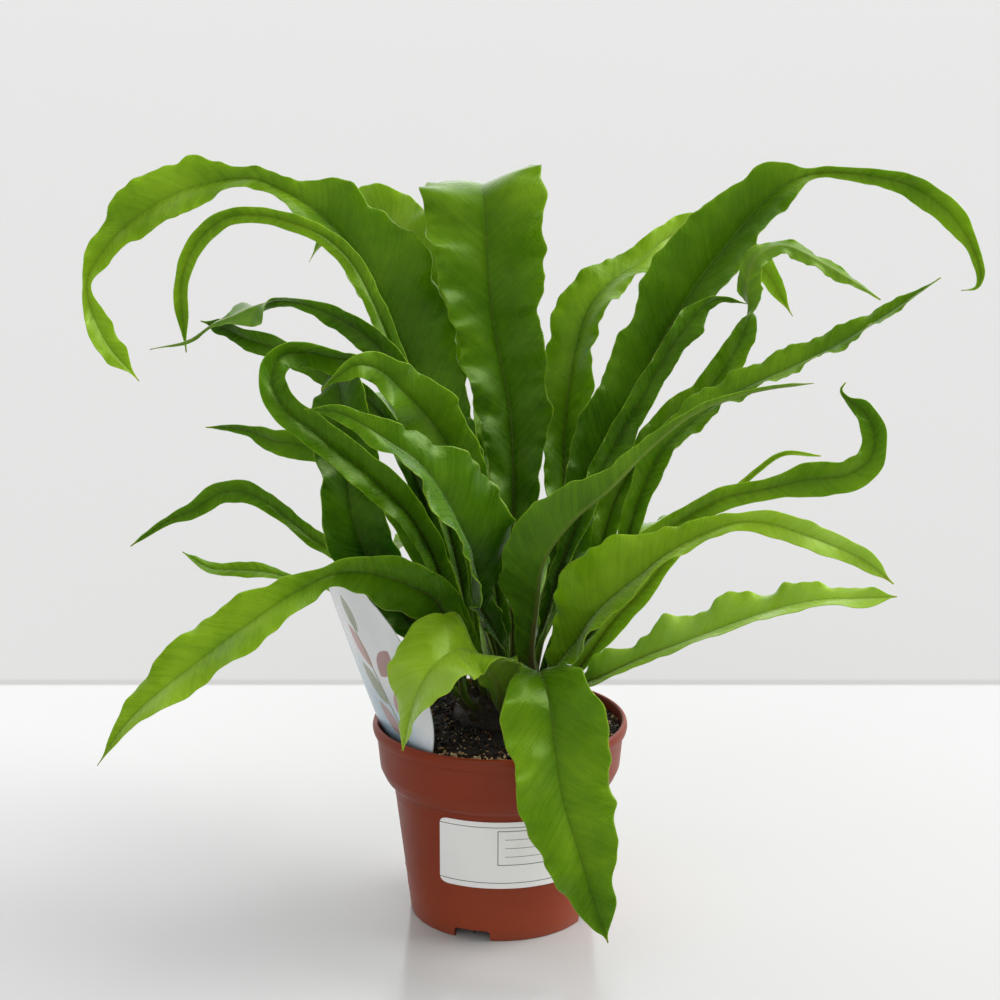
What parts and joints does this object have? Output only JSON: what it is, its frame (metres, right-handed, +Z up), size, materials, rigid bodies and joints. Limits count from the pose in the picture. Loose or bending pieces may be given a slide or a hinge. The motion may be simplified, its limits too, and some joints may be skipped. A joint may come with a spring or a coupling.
{
  "type": "potted fern",
  "caption": "Strap-leaved fern with waved fronds, growing from a short crown in a terracotta coloured plastic nursery pot with soil, a care tag and a blank label.",
  "frame": {"origin": "centre of the pot's foot, on the surface that it stands on", "axes": "+Z up, -Y towards the label and the viewer, +X to the viewer's right"},
  "size_m": [0.4006, 0.3005, 0.3192],
  "materials": {
    "pot_plastic": "satin",
    "label_paper": "satin",
    "soil": "rough",
    "tag_plastic": "gloss",
    "crown": "rough",
    "frond": "satin"
  },
  "bodies": {
    "root": {"care_tag": "tag_plastic", "crown": "crown", "frond_back_east": "frond", "frond_back_far": "frond", "frond_back_left": "frond", "frond_back_low_east": "frond", "frond_back_low_west": "frond", "frond_back_right": "frond", "frond_back_side": "frond", "frond_back_west": "frond", "frond_centre_back": "frond", "frond_front_bent": "frond", "frond_front_droop": "frond", "frond_front_left": "frond", "frond_front_short": "frond", "frond_left_arch": "frond", "frond_left_fold": "frond", "frond_left_front": "frond", "frond_left_hook": "frond", "frond_left_loop": "frond", "frond_left_low": "frond", "frond_left_out": "frond", "frond_left_small": "frond", "frond_left_tall": "frond", "frond_left_wavy": "frond", "frond_right_arch": "frond", "frond_right_curl": "frond", "frond_right_front": "frond", "frond_right_long": "frond", "frond_right_low": "frond", "frond_right_mid": "frond", "frond_right_reach": "frond", "frond_right_twist": "frond", "frond_right_under": "frond", "label": "label_paper", "pot": "pot_plastic", "soil": "soil"}
  },
  "joints": []
}
